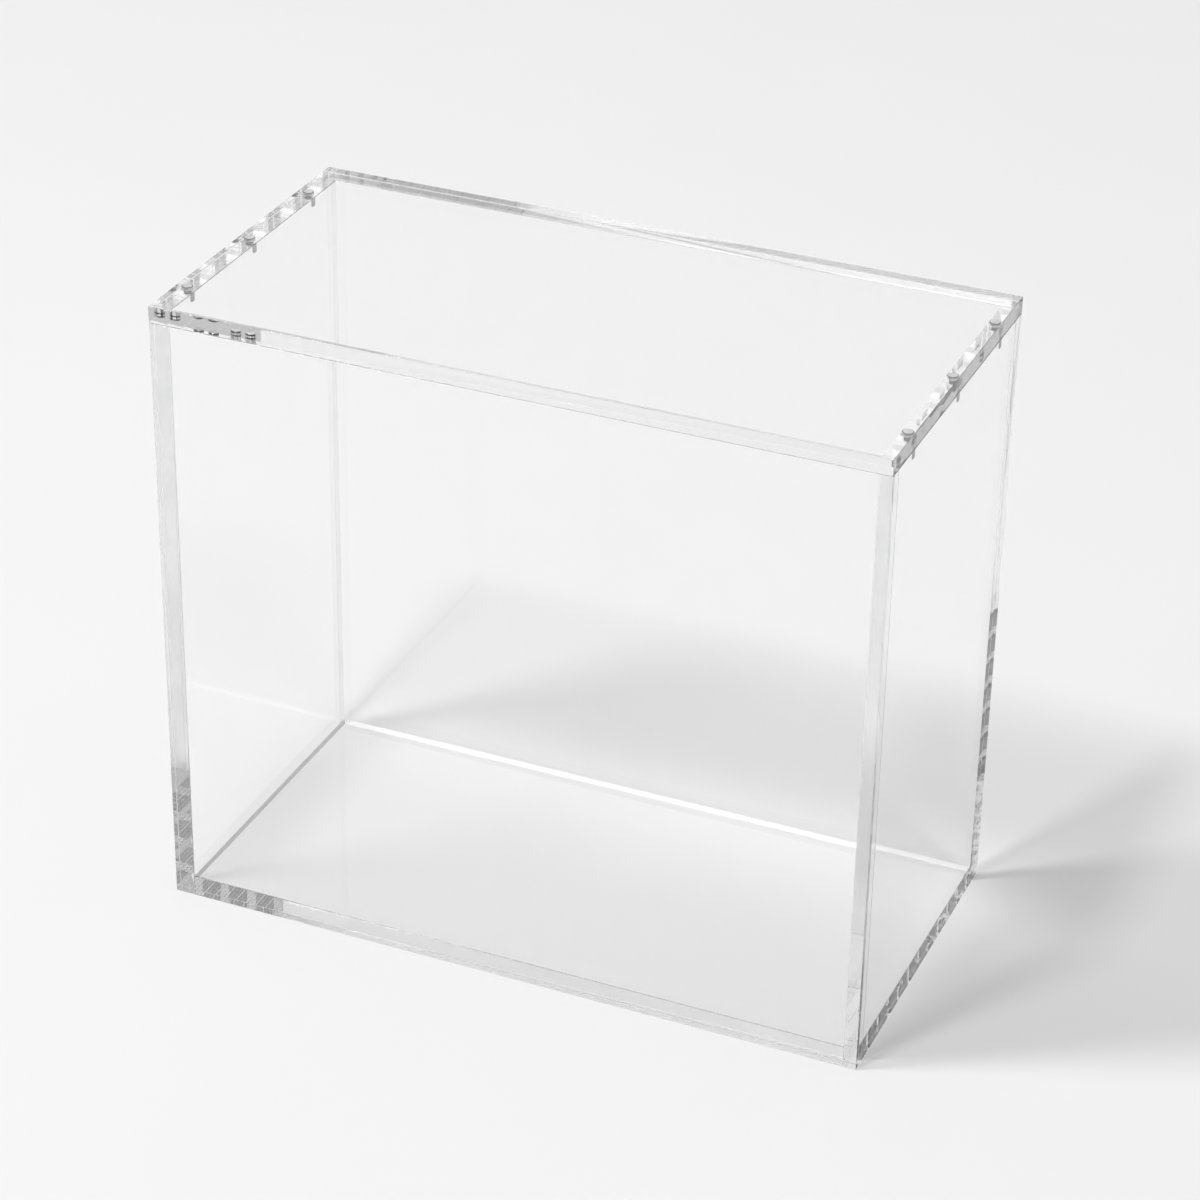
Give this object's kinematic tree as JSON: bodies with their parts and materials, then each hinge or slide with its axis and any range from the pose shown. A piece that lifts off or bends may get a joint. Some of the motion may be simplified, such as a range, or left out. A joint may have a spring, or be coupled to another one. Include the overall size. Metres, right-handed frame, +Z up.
{
  "type": "display case",
  "caption": "Clear acrylic display case for a boxed collectible: a glued five-sided box with a flat lid that lifts off against small magnets set over its short walls.",
  "frame": {"origin": "centre of the footprint, on the plane of the underside", "axes": "+X along the long side to the right as seen from the front, +Y from the front to the back, +Z up, the way the lid lifts"},
  "size_m": [0.204, 0.103, 0.1815],
  "materials": {
    "clear_acrylic": "clear cast acrylic sheet, polished faces and edges",
    "magnet_nickel": "bright nickel plate",
    "pin_steel": "ground steel"
  },
  "bodies": {
    "case": {"front_panel": "clear_acrylic", "back_panel": "clear_acrylic", "left_side_panel": "clear_acrylic", "right_side_panel": "clear_acrylic", "base_panel": "clear_acrylic", "wall_pin_left_front": "pin_steel", "wall_pin_left_middle": "pin_steel", "wall_pin_left_rear": "pin_steel", "wall_pin_right_front": "pin_steel", "wall_pin_right_middle": "pin_steel", "wall_pin_right_rear": "pin_steel"},
    "lid": {"lid_panel": "clear_acrylic", "lid_magnet_left_front": "magnet_nickel", "lid_magnet_left_middle": "magnet_nickel", "lid_magnet_left_rear": "magnet_nickel", "lid_magnet_right_front": "magnet_nickel", "lid_magnet_right_middle": "magnet_nickel", "lid_magnet_right_rear": "magnet_nickel"}
  },
  "joints": [
    {"name": "lid_lift", "type": "slide", "parent": "case", "child": "lid", "axis": [0, 0, 1], "range_m": [0, 0.2]}
  ]
}
